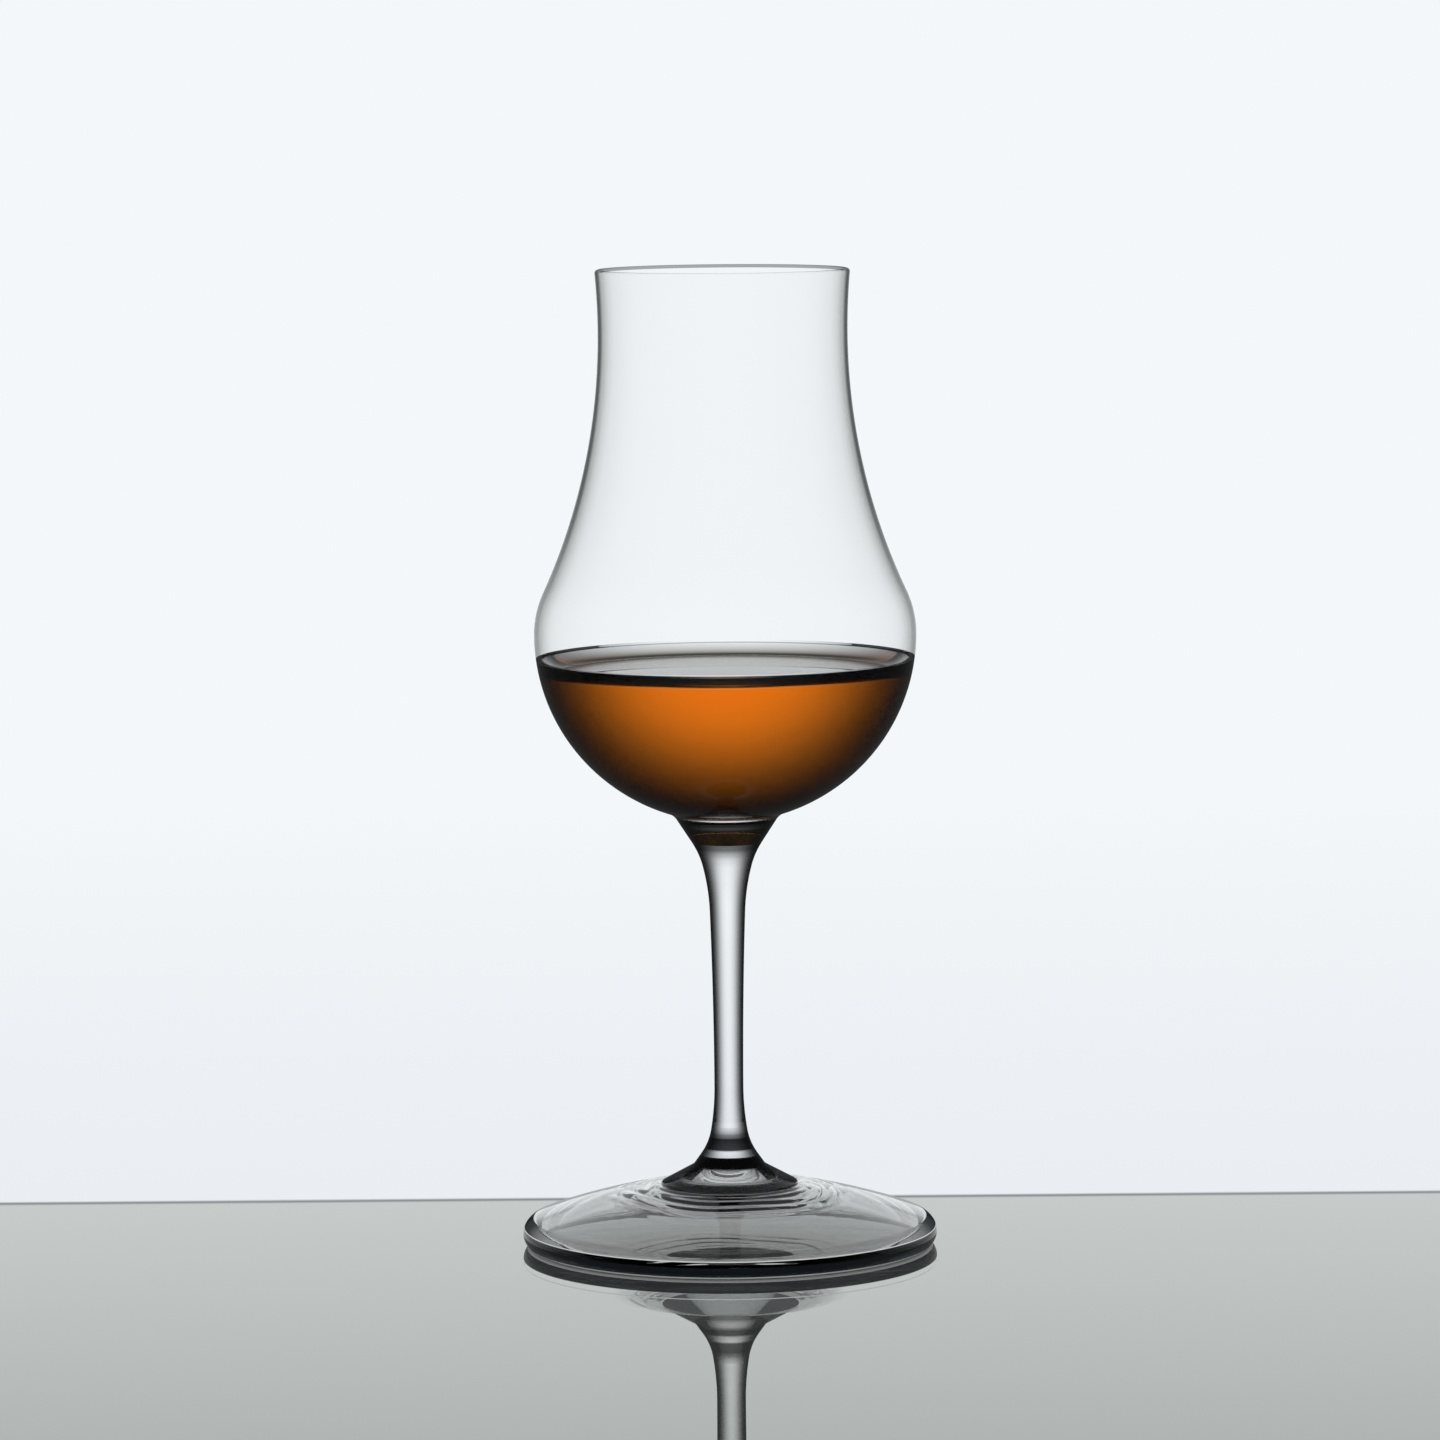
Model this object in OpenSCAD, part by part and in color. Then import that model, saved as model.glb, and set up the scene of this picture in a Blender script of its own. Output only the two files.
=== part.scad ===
// Tulip tasting glass: a blown bowl, a drawn stem and a spun foot, fused end to end, and the
// measure of spirit that stands in the bowl.
// Millimetres, +Z up. The origin is the centre of the ring that the foot stands on.

/* [Bowl] */
// Height of the bowl, from its outside bottom to the rim
bowl_h = 93; // [80:0.1:120]
// Outside diameter of the belly
bowl_d = 64.2; // [56:0.1:80]
// Height of the widest part of the belly over the outside bottom
belly_h = 31.7; // [28:0.1:38]
// Outside diameter at the narrowest part of the neck
waist_d = 41.8; // [34:0.1:50]
// Outside diameter at the rim
rim_d = 42.7; // [34:0.1:56]
// Height of the flared lip, from the narrowest part of the neck to the rim
lip_h = 10.5; // [4:0.5:20]
// Radius of the shoulder just above the belly
shoulder_r = 17; // [8:0.5:30]
// Thickness of the blown wall
wall = 1.1; // [0.8:0.05:2]
// Thickness of the glass at the bottom of the bowl
base_t = 3; // [2:0.1:6]

/* [Stem] */
// Length of the stem on its axis, from its seat on the foot to the outside bottom of the bowl
stem_h = 61.7; // [50:0.1:100]
// Diameter of the stem at its thinnest, where the lower flare begins
stem_d = 4.9; // [4:0.1:6.5]
// Radius of the long curve by which the stem thickens upwards
stem_curve_r = 820; // [400:10:2000]
// Height of the upper flare, from the stem to the outside bottom of the bowl
head_h = 15.3; // [12:0.1:20]
// Radius of the slow bend that starts the upper flare
head_slow_r = 36; // [25:0.5:50]
// Angle with the axis where that slow bend ends
head_slow_angle = 14.5; // [8:0.5:18]
// Radius of the quick bend that follows it
head_quick_r = 14; // [8:0.5:20]
// Angle with the axis at which the upper flare runs straight into the bowl
head_end_angle = 33; // [26:0.5:42]
// Radius of the slow bend that starts the lower flare
heel_slow_r = 45; // [30:0.5:60]
// Angle with the axis where that slow bend ends
heel_slow_angle = 9.5; // [5:0.5:13]
// Radius of the quick bend that follows it
heel_quick_r = 10; // [7:0.5:13]
// Angle with the axis at which the lower flare runs straight down to the button
heel_end_angle = 35.5; // [28:0.5:42]
// Diameter at the crease between the lower flare and the button
crease_d = 12.2; // [11:0.1:15]
// Radius that softens the crease
crease_r = 1.5; // [0.5:0.1:3]
// Diameter of the button by which the stem stands on the foot
button_d = 23.2; // [19:0.1:28]
// Height of the button, from the foot up to the crease
button_h = 3.3; // [2:0.1:5]
// Radius that rounds the edge of the button
button_edge_r = 0.5; // [0.3:0.1:1]

/* [Foot] */
// Diameter of the foot
foot_d = 70.1; // [58:0.1:84]
// Height of the seat on the foot that carries the stem
foot_h = 10.3; // [9:0.1:14]
// Radius of the domed top of the foot
crown_r = 120; // [60:1:300]
// Height of the widest part of the foot's edge over the table
edge_h = 2.1; // [1.2:0.1:3]
// Radius that rounds the edge above its widest part
edge_r = 2.8; // [1:0.1:4]
// Width by which the edge draws in below its widest part
toe_w = 1.8; // [0.2:0.1:3]
// Width of the flat ring that the foot stands on
ring_w = 1.6; // [0.8:0.1:4]
// Height of the hollow under the foot
kick_h = 7; // [4:0.1:8]

/* [Drink] */
// Depth of the spirit over the inside bottom of the bowl
fill_h = 22.5; // [8:0.1:28]
// Height that the spirit creeps up the wall
meniscus_h = 2.1; // [0.4:0.1:3]
// Width of the curved margin of the spirit along the wall
meniscus_w = 3.8; // [1:0.1:6]

/* [Hidden] */

// Steps along each quarter turn of a profile, and sides of a revolved surface
arc_steps = 24;
$fn = 96;

// Heights, from the table up
pole_z = foot_h + stem_h;
belly_z = pole_z + belly_h;
rim_z = pole_z + bowl_h;
waist_z = rim_z - lip_h;
well_z = pole_z + base_t;
fill_z = well_z + fill_h;
contact_z = fill_z + meniscus_h;
head_z = pole_z - head_h;
crease_z = foot_h + button_h;

// The shoulder and the neck are two arcs that meet without a corner. Both turn from upright
// at the belly and at the waist, so their radii add up to one length, and the neck takes what
// the shoulder leaves of it.
neck_in = (bowl_d - waist_d) / 2;
neck_rise = waist_z - belly_z;
arc_sum = (neck_in * neck_in + neck_rise * neck_rise) / (2 * neck_in);
neck_r = arc_sum - shoulder_r;
arc_turn = atan2(neck_rise, arc_sum - neck_in);
shoulder_x = bowl_d / 2 - shoulder_r;
neck_x = waist_d / 2 + neck_r;

// The lower flare grows from the stem to the crease. What its two bends leave of that growth
// is its straight run, and all three together set the height of the stem's thinnest place.
heel_growth = (crease_d - stem_d) / 2 - heel_slow_r * (1 - cos(heel_slow_angle))
    - heel_quick_r * (cos(heel_slow_angle) - cos(heel_end_angle));
heel_drop = heel_growth / tan(heel_end_angle)
    + heel_quick_r * (sin(heel_end_angle) - sin(heel_slow_angle))
    + heel_slow_r * sin(heel_slow_angle);
thin_z = crease_z + heel_drop;

// The stem's long curve leaves its thinnest place upright and has turned this far at the head
stem_turn = asin((head_z - thin_z) / stem_curve_r);

// The head is run on inside the bowl, up to where the bowl's bottom has turned this far
cup_turn = 45;
cup_z = belly_z - belly_h * cos(cup_turn);

// The button's side runs from the crease to its rounded edge, at this angle with the axis
button_x = button_d / 2 - button_edge_r;
button_angle = touch_angle([crease_d / 2, crease_z], [button_x, foot_h], button_edge_r);

glass_tint = [0.86, 0.90, 0.94, 0.45];
spirit_tint = [0.72, 0.33, 0.05, 0.85];

// Steps along an arc
function steps(turn) = max(2, ceil(arc_steps * abs(turn) / 90));

// Points of an arc about a centre, from one angle to another. The radii along X and Z may
// differ.
function arc(x, z, rx, rz, from, to) =
    let (n = steps(to - from))
    [for (i = [0:n]) let (a = from + (to - from) * i / n) [x + rx * cos(a), z + rz * sin(a)]];

// Points of a bend that leaves a point and widens from one angle with the axis to another.
// Way is 1 up the axis and -1 down it.
function bend(start, radius, from, to, way) =
    let (n = steps(to - from))
    [for (i = [0:n]) let (a = from + (to - from) * i / n)
        [start.x + radius * (cos(from) - cos(a)), start.y + way * radius * (sin(a) - sin(from))]];

// Direction from a circle's centre to where a line from a point on its inner side touches it
function touch_angle(point, centre, radius) =
    atan2(point.y - centre.y, point.x - centre.x) - acos(radius / norm(point - centre));

// The list without its first point, to follow a list that ends there
function rest(points) = [for (i = [1:len(points) - 1]) points[i]];

function last(points) = points[len(points) - 1];

function reversed(points) = [for (i = [len(points) - 1:-1:0]) points[i]];

// Half profile of the bowl from the axis up to the lip, set in from the outside by a depth
// along the wall and by another at the bottom
function tulip(depth, bottom) = concat(
    arc(0, belly_z, bowl_d / 2 - depth, belly_h - bottom, -90, 0),
    rest(arc(shoulder_x, belly_z, shoulder_r - depth, shoulder_r - depth, 0, arc_turn)),
    rest(arc(neck_x, waist_z, neck_r + depth, neck_r + depth, 180 + arc_turn, 180)),
    rest(lip(depth)));

// The lip leaves the waist upright and opens as a parabola, up to its rounded edge
lip_steps = 8;
function lip(depth) = [for (i = [0:lip_steps]) let (t = i / lip_steps)
    [waist_d / 2 - depth + (rim_d - waist_d) / 2 * t * t,
     waist_z + (lip_h - wall / 2) * t]];

// Half the wall's thickness rounds the rim, as fire polishing leaves it
function rim_edge() = arc(rim_d / 2 - wall / 2, rim_z - wall / 2, wall / 2, wall / 2, 0, 180);

// The outside shape of the bowl, closed at the rim
module bowl_outside() {
    rotate_extrude() polygon(concat(tulip(0, 0), [[0, rim_z - wall / 2]]));
}

// The space inside the bowl, up to the foot of the rounded rim
module bowl_inside() {
    rotate_extrude() polygon(concat(tulip(wall, base_t), [[0, rim_z - wall / 2]]));
}

module bowl() {
    color(glass_tint)
        rotate_extrude()
            polygon(concat(tulip(0, 0), rest(rim_edge()), rest(reversed(tulip(wall, base_t)))));
}

// Half profile of the stem from its thinnest place down to the seat on the foot
function heel() =
    let (slow = bend([stem_d / 2, thin_z], heel_slow_r, 0, heel_slow_angle, -1),
         quick = bend(last(slow), heel_quick_r, heel_slow_angle, heel_end_angle, -1),
         // The soft crease starts this far before the corner that it replaces
         cut = crease_r * tan((button_angle - heel_end_angle) / 2),
         start = [crease_d / 2 - cut * sin(heel_end_angle), crease_z + cut * cos(heel_end_angle)])
    concat(slow, rest(quick), bend(start, crease_r, heel_end_angle, button_angle, -1),
           arc(button_x, foot_h, button_edge_r, button_edge_r, button_angle, 0));

// Half profile of the stem from its thinnest place up to its end inside the bowl
function head() =
    let (long = bend([stem_d / 2, thin_z], stem_curve_r, 0, stem_turn, 1),
         slow = bend(last(long), head_slow_r, stem_turn, head_slow_angle, 1),
         quick = bend(last(slow), head_quick_r, head_slow_angle, head_end_angle, 1),
         end = last(quick))
    concat(long, rest(slow), rest(quick),
           [[end.x + (cup_z - end.y) * tan(head_end_angle), cup_z]]);

// The stem's head is run on into the bowl and cut by it, so that the bowl's round bottom sits
// in a cup of its own shape
module stem() {
    color(glass_tint)
        difference() {
            rotate_extrude()
                polygon(concat([[0, foot_h]], reversed(heel()), rest(head()), [[0, cup_z]]));
            bowl_outside();
        }
}

// The foot's domed top runs from the seat into its rounded edge without a corner. It stands on
// a flat ring and is hollow below.
module foot() {
    seat = [button_d / 2, foot_h];
    edge = [foot_d / 2 - edge_r, edge_h];
    // The dome's centre is its radius away from the seat, and as much less the edge's radius
    // away from the edge's centre
    span = norm(edge - seat);
    inner_r = crown_r - edge_r;
    along = (crown_r * crown_r - inner_r * inner_r + span * span) / (2 * span);
    aside = sqrt(crown_r * crown_r - along * along);
    way = (edge - seat) / span;
    crown = seat + along * way + aside * [way.y, -way.x];
    seat_angle = atan2(seat.y - crown.y, seat.x - crown.x);
    edge_angle = atan2(edge.y - crown.y, edge.x - crown.x);
    toe_x = foot_d / 2 - toe_w;
    hollow_x = toe_x - ring_w;
    hollow_r = (hollow_x * hollow_x + kick_h * kick_h) / (2 * kick_h);
    hollow_turn = asin(hollow_x / hollow_r);
    color(glass_tint)
        rotate_extrude()
            polygon(concat(
                [[0, foot_h]],
                arc(crown.x, crown.y, crown_r, crown_r, seat_angle, edge_angle),
                rest(arc(edge.x, edge.y, edge_r, edge_r, edge_angle, 0)),
                rest(arc(toe_x, edge_h, toe_w, edge_h, 0, -90)),
                arc(0, kick_h - hollow_r, hollow_r, hollow_r, 90 - hollow_turn, 90)));
}

// The spirit fills the bowl up to a flat surface with a margin that curves up the wall
module spirit() {
    color(spirit_tint)
        intersection() {
            bowl_inside();
            rotate_extrude() polygon(concat([[0, pole_z], [bowl_d, pole_z]], drink_surface()));
        }
}

// Inside radius of the bowl's round bottom at a height
function well_r(z) =
    (bowl_d / 2 - wall) * sqrt(1 - pow((belly_z - z) / (belly_h - base_t), 2));

// Surface of the spirit, from outside the wall in to the axis. The margin is a parabola.
surface_steps = 10;
function drink_surface() = concat(
    [[bowl_d, contact_z]],
    [for (i = [surface_steps:-1:0]) let (t = i / surface_steps)
        [well_r(contact_z) - meniscus_w * (1 - t), fill_z + meniscus_h * t * t]],
    [[0, fill_z]]);

bowl();
stem();
foot();
spirit();
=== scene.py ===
import math

import bpy
import numpy as np
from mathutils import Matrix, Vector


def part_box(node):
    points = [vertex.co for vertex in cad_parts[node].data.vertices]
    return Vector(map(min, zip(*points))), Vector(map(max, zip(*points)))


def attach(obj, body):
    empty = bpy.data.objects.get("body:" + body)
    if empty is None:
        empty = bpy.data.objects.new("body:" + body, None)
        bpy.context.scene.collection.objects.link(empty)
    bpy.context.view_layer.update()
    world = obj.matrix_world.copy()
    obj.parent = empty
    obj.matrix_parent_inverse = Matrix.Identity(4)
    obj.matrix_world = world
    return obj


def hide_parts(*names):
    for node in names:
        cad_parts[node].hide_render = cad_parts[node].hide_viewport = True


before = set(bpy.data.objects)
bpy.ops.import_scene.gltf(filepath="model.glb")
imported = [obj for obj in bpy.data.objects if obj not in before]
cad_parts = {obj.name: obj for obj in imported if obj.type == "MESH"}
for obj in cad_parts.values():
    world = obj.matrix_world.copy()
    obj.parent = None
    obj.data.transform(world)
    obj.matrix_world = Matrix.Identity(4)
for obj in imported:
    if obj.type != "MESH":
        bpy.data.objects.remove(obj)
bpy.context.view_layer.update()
mm = 0.001
scene = bpy.context.scene
print("frame loaded:", sorted(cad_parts))


# small tools

def linear(hexColour):  # sRGB hex to linear RGBA
    channels = np.array([int(hexColour[i:i + 2], 16) for i in (1, 3, 5)]) / 255
    light = np.where(channels <= 0.04045, channels / 12.92, ((channels + 0.055) / 1.055) ** 2.4)
    return (*light.tolist(), 1.0)


# one node, its settings and what feeds it. Sockets go by their identifiers, a node that feeds one stands for
# its first output in use, and a ramp's stops are (place, grey) in rising order
def addNode(tree, kind, settings=None, links=None):
    node = tree.nodes.new(kind)
    sockets = {socket.identifier: socket for socket in node.inputs}
    for name, value in (settings or {}).items():
        if name == "stops":
            elements = node.color_ramp.elements
            while len(elements) < len(value):
                elements.new(0.5)  # its place is set below
            for element, (place, grey) in zip(elements, value):
                element.position = place
                element.color = (grey, grey, grey, 1)
        elif name in sockets:
            sockets[name].default_value = value
        else:
            setattr(node, name, value)
    for name, source in (links or {}).items():
        if isinstance(source, bpy.types.Node):
            source = next(output for output in source.outputs if output.enabled)
        tree.links.new(source, sockets[name])
    return node


def newMaterial(name):
    material = bpy.data.materials.new(name)
    material.use_nodes = True
    material.node_tree.nodes.clear()
    return material, material.node_tree


def arc(x, z, rx, rz, start, end, steps):  # points of an ellipse about (x, z), by its angle in degrees
    angle = np.radians(np.linspace(start, end, steps + 1))
    return np.stack([x + rx * np.cos(angle), z + rz * np.sin(angle)], 1)


# points of a bend that leaves a point and widens from one angle with the axis to another; way is 1 for up
# and -1 for down
def bend(start, radius, fromA, toA, way, steps):
    angle = np.radians(np.linspace(fromA, toA, steps + 1))
    return np.stack([start[0] + radius * (np.cos(angle[0]) - np.cos(angle)),
                     start[1] + way * radius * (np.sin(angle) - np.sin(angle[0]))], 1)


# direction from a circle's centre to where a line from a point on its inner side touches it, in degrees
def touchAngle(point, centre, radius):
    away = np.subtract(point, centre)
    return math.degrees(math.atan2(away[1], away[0]) - math.acos(radius / np.hypot(*away)))


def along(*runs):  # runs of profile points, joined end to end without the shared points
    return np.concatenate([runs[0]] + [run[1:] for run in runs[1:]])


def middles(profile):  # the middle of each stretch between two points
    return (profile[1:] + profile[:-1]) / 2


sharpFrom = 25.0  # degrees between two faces from which the edge between them is sharp


# a profile of (radius, height) points carried round Z: x = r cos a, y = r sin a. The profile starts and ends
# on the axis, where a row of the grid is one vertex. finishes are materials by band, and bandOf gives each
# stretch its band
def lathe(name, profile, turns, finishes, bandOf=None, lift=None):
    rows = profile[1:-1]
    angle = np.arange(turns) * 2 * math.pi / turns
    ring = np.stack([np.cos(angle), np.sin(angle)], 1)
    grid = np.empty((len(rows), turns, 3))
    grid[:, :, :2] = rows[:, 0, None, None] * ring
    grid[:, :, 2] = rows[:, 1, None] + (lift(rows, angle) if lift else 0)
    ends = np.array([[0, 0, profile[0, 1]], [0, 0, profile[-1, 1]]])
    points = np.concatenate([grid.reshape(-1, 3), ends])
    index = np.arange(len(rows) * turns).reshape(len(rows), turns)
    after = np.roll(index, -1, 1)
    quads = np.stack([index[:-1], after[:-1], after[1:], index[1:]], -1).reshape(-1, 4)
    first, last = len(points) - 2, len(points) - 1
    low = np.stack([np.full(turns, first), after[0], index[0]], -1)
    high = np.stack([np.full(turns, last), index[-1], after[-1]], -1)
    mesh = bpy.data.meshes.new(name)
    mesh.from_pydata(points.tolist(), [], low.tolist() + quads.tolist() + high.tolist())
    mesh.polygons.foreach_set("use_smooth", np.ones(len(mesh.polygons), bool))
    for finish in finishes.values():
        mesh.materials.append(finish)
    if bandOf is not None:
        order = list(finishes)
        slots = np.array([order.index(band) for band in bandOf], np.int32)
        mesh.polygons.foreach_set("material_index", np.repeat(slots, turns))
    mesh.set_sharp_from_angle(angle=math.radians(sharpFrom))
    mesh.update()
    piece = bpy.data.objects.new(name, mesh)
    scene.collection.objects.link(piece)
    return piece


# glass. Facing, in these materials, is 0 where a surface is seen head on and 1 where it is seen edge on

glass = {
    "ior": 1.5,
    "clear": "#FFFFFF", "none": "#000000",
    "passes": "#E2E2E2",  # what a surface lets through of soft light
    "deep": "#24282B",    # painted shade: the dark matt colour mixed into glass where it should look dark
    "shadeStops": 24,     # in the ramp of an edge's shade
}
white = linear(glass["clear"])
level = (1, 1, 0)  # times a direction, leaves out its rise


# stops of a painted shade by facing: head on, all light is let through; towards the edge of a round form it
# falls as exp(-depth * facing ** curve), standing in for the dark that the glass bends in there
def edgeShade(depth, curve):
    facing = np.linspace(0, 1, glass["shadeStops"])
    return list(zip(facing, np.exp(-depth * facing ** curve)))


# a surface tints light by the square root of its colour, so the stops are squared
def squared(stops):
    return [(place, share ** 2) for place, share in stops]


# the normal's compass direction, raised by so many degrees
def raisedNormal(tree, degrees):
    normal = addNode(tree, "ShaderNodeNewGeometry").outputs["Normal"]
    flat = addNode(tree, "ShaderNodeVectorMath", {"operation": "MULTIPLY", "Vector_001": level},
                   {"Vector": normal})
    compass = addNode(tree, "ShaderNodeVectorMath", {"operation": "NORMALIZE"}, {"Vector": flat})
    rise = (0, 0, math.tan(math.radians(degrees)))
    raised = addNode(tree, "ShaderNodeVectorMath", {"operation": "ADD", "Vector_001": rise},
                     {"Vector": compass})
    return addNode(tree, "ShaderNodeVectorMath", {"operation": "NORMALIZE"}, {"Vector": raised})


# soft light and shadows pass straight through, so that the floor under clear glass stays lit
def letLightThrough(tree, shader, passes):
    path = addNode(tree, "ShaderNodeLightPath")
    soft = addNode(tree, "ShaderNodeMath", {"operation": "MAXIMUM"},
                   {"Value": path.outputs["Is Shadow Ray"], "Value_001": path.outputs["Is Diffuse Ray"]})
    clear = addNode(tree, "ShaderNodeBsdfTransparent", {"Color": linear(passes)})
    return addNode(tree, "ShaderNodeMixShader", links={"Fac": soft, "Shader": shader, "Shader_001": clear})


# of what the floor mirrors, a share that no glass has bent yet passes straight through, too: it meets the
# foot's top at a glance and shows the wall. The share is even, or goes from one to another between two radii
def letMirrorThrough(tree, shader, share, byRadius):
    path = addNode(tree, "ShaderNodeLightPath")
    unbent = addNode(tree, "ShaderNodeMath", {"operation": "SUBTRACT"},
                     {"Value": path.outputs["Is Reflection Ray"],
                      "Value_001": path.outputs["Transmission Depth"]})
    feeds = {"Value": unbent}
    if byRadius:
        (innerR, innerShare), (outerR, outerShare) = byRadius
        place = addNode(tree, "ShaderNodeTexCoord").outputs["Object"]
        flat = addNode(tree, "ShaderNodeVectorMath", {"operation": "MULTIPLY", "Vector_001": level},
                       {"Vector": place})
        radius = addNode(tree, "ShaderNodeVectorMath", {"operation": "LENGTH"}, {"Vector": flat})
        feeds["Value_001"] = addNode(tree, "ShaderNodeMapRange",
                                     {"interpolation_type": "SMOOTHSTEP", "From Min": innerR,
                                      "From Max": outerR, "To Min": innerShare, "To Max": outerShare},
                                     {"Value": radius})
    amount = addNode(tree, "ShaderNodeMath", {"operation": "MULTIPLY", "Value_001": share}, feeds)
    straight = addNode(tree, "ShaderNodeMath", {"operation": "MAXIMUM", "Value_001": 0.0}, {"Value": amount})
    clear = addNode(tree, "ShaderNodeBsdfTransparent", {"Color": white})
    return addNode(tree, "ShaderNodeMixShader",
                   links={"Fac": straight, "Shader": shader, "Shader_001": clear})


# soda-lime crystal, blown in a mould and fire polished: no grain, water clear, with a painted cool grey shade
# where a wall is seen edge on. The thin wall shifts light too little to see, so it only tints and mirrors
# sheen: what it mirrors, by facing
# edge: painted shade, what it lets through by facing, in full above the higher of two heights and in part
# below the lower
# rim: a painted grey shade where light comes in, and none where it goes out
def blownWall(name, sheen, edge=None, edgeZ=None, edgeLeft=None, rim=None):
    material, tree = newMaterial(name)
    facing = addNode(tree, "ShaderNodeLayerWeight").outputs["Facing"]
    tint = {}
    if edge:
        shade = addNode(tree, "ShaderNodeValToRGB", {"stops": edge}, {"Fac": facing})
        place = addNode(tree, "ShaderNodeTexCoord").outputs["Object"]
        height = addNode(tree, "ShaderNodeSeparateXYZ", links={"Vector": place}).outputs["Z"]
        full = addNode(tree, "ShaderNodeMapRange",
                       {"interpolation_type": "SMOOTHSTEP", "From Min": edgeZ[0], "From Max": edgeZ[1],
                        "To Min": edgeLeft}, {"Value": height})
        tint["Color"] = addNode(tree, "ShaderNodeMix", {"data_type": "RGBA", "A_Color": white},
                                {"Factor_Float": full, "B_Color": shade})
    if rim:
        leaves = addNode(tree, "ShaderNodeNewGeometry").outputs["Backfacing"]
        tint["Color"] = addNode(tree, "ShaderNodeMix",
                                {"data_type": "RGBA", "A_Color": linear(rim), "B_Color": white},
                                {"Factor_Float": leaves})
    through = addNode(tree, "ShaderNodeBsdfTransparent", links=tint)
    gloss = addNode(tree, "ShaderNodeBsdfGlossy", {"Roughness": 0.0})
    share = addNode(tree, "ShaderNodeValToRGB", {"stops": sheen}, {"Fac": facing})
    both = addNode(tree, "ShaderNodeMixShader", links={"Fac": share, "Shader": through, "Shader_001": gloss})
    surface = letLightThrough(tree, both, glass["passes"])
    addNode(tree, "ShaderNodeOutputMaterial", links={"Surface": surface})
    return material


# the same crystal, thick: drawn into the stem, spun into the foot, and the wall that the drink wets. It bends
# light, so a round form shows the bright wall in its middle; towards its edges it darkens partly by its real
# mirror and partly by painted shade
# paintedShade: painted shade, what each surface lets through, by facing
# lean: facing is that of an upright rod that leans back by so many degrees, so that a flare counts as no turn
# raised: it bends light as a surface with its normal raised by so many degrees does
# oneWay: paintedShade tints only light that comes in
# paintedBands: painted bands of light and shade on what is let in, by height in mm, where real bends would
# show the wall and the dark by turns
# dark, darkBy: share of painted shade, a dark matt colour mixed in, even or by facing where paintedShade is
# given
# mirrorThrough, mirrorBy: for letMirrorThrough
def crystalGlass(name, paintedShade=None, lean=None, raised=None, oneWay=False, paintedBands=None, tint=glass["clear"],
                 mirror=glass["clear"], rough=0.0, coat=0.0, dark=0.0, darkBy=None, mirrorThrough=0.0,
                 mirrorBy=None):
    material, tree = newMaterial(name)
    leaves = addNode(tree, "ShaderNodeNewGeometry").outputs["Backfacing"] if oneWay or paintedBands else None
    feeds = {}
    if paintedShade:
        rod = {} if lean is None else {"Normal": raisedNormal(tree, lean)}
        facing = addNode(tree, "ShaderNodeLayerWeight", links=rod).outputs["Facing"]
        feeds["Base Color"] = addNode(tree, "ShaderNodeValToRGB", {"stops": squared(paintedShade)}, {"Fac": facing})
    if oneWay:
        feeds["Base Color"] = addNode(tree, "ShaderNodeMix", {"data_type": "RGBA", "B_Color": white},
                                      {"Factor_Float": leaves, "A_Color": feeds["Base Color"]})
    if paintedBands:
        low, high = paintedBands[0][0], paintedBands[-1][0]
        stops = squared([((height - low) / (high - low), share) for height, share in paintedBands])
        place = addNode(tree, "ShaderNodeTexCoord").outputs["Object"]
        height = addNode(tree, "ShaderNodeSeparateXYZ", links={"Vector": place}).outputs["Z"]
        rise = addNode(tree, "ShaderNodeMapRange", {"From Min": low * mm, "From Max": high * mm},
                       {"Value": height})
        comes = addNode(tree, "ShaderNodeValToRGB", {"stops": stops}, {"Fac": rise})
        ringed = addNode(tree, "ShaderNodeMix", {"data_type": "RGBA", "B_Color": white},
                         {"Factor_Float": leaves, "A_Color": comes})
        feeds["Base Color"] = addNode(tree, "ShaderNodeMix",
                                      {"data_type": "RGBA", "blend_type": "MULTIPLY", "Factor_Float": 1.0},
                                      {"A_Color": feeds["Base Color"], "B_Color": ringed})
    if raised is not None:
        feeds["Normal"] = raisedNormal(tree, raised)
    shader = addNode(tree, "ShaderNodeBsdfPrincipled",
                     {"Base Color": linear(tint), "Roughness": rough, "IOR": glass["ior"],
                      "Transmission Weight": 1.0, "Specular Tint": linear(mirror), "Coat Weight": coat,
                      "Coat Roughness": rough}, feeds)
    if dark or darkBy:
        deep = addNode(tree, "ShaderNodeBsdfDiffuse", {"Color": linear(glass["deep"])})
        parts = {"Shader": shader, "Shader_001": deep}
        if darkBy:
            parts["Fac"] = addNode(tree, "ShaderNodeValToRGB", {"stops": darkBy}, {"Fac": facing})
        shader = addNode(tree, "ShaderNodeMixShader", {"Fac": dark}, parts)
    if mirrorThrough or mirrorBy:
        shader = letMirrorThrough(tree, shader, mirrorThrough, mirrorBy)
    surface = letLightThrough(tree, shader, glass["passes"])
    addNode(tree, "ShaderNodeOutputMaterial", links={"Surface": surface})
    return material


# a painted highlight where a fire-polished edge catches the light: a thin pale matt ring. Seen through other
# glass, or in its sharp mirror, the line doesn't show
def paintedEdgeGlint(colour):
    material, tree = newMaterial("painted_highlight_edge_glint")
    matt = addNode(tree, "ShaderNodeBsdfDiffuse", {"Color": linear(colour)})
    clear = addNode(tree, "ShaderNodeBsdfTransparent")
    path = addNode(tree, "ShaderNodeLightPath")
    hidden = addNode(tree, "ShaderNodeMath", {"operation": "MAXIMUM"},
                     {"Value": path.outputs["Is Transmission Ray"],
                      "Value_001": path.outputs["Is Singular Ray"]})
    both = addNode(tree, "ShaderNodeMixShader", links={"Fac": hidden, "Shader": matt, "Shader_001": clear})
    addNode(tree, "ShaderNodeOutputMaterial", links={"Surface": both})
    return material


# two gathers of glass run together hot: the seam inside bends no light and takes little or none of it
def fusedSeam(name, tint):
    material, tree = newMaterial(name)
    clear = addNode(tree, "ShaderNodeBsdfTransparent", {"Color": linear(tint)})
    addNode(tree, "ShaderNodeOutputMaterial", links={"Surface": clear})
    return material


print("glass ready")


# bowl

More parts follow.
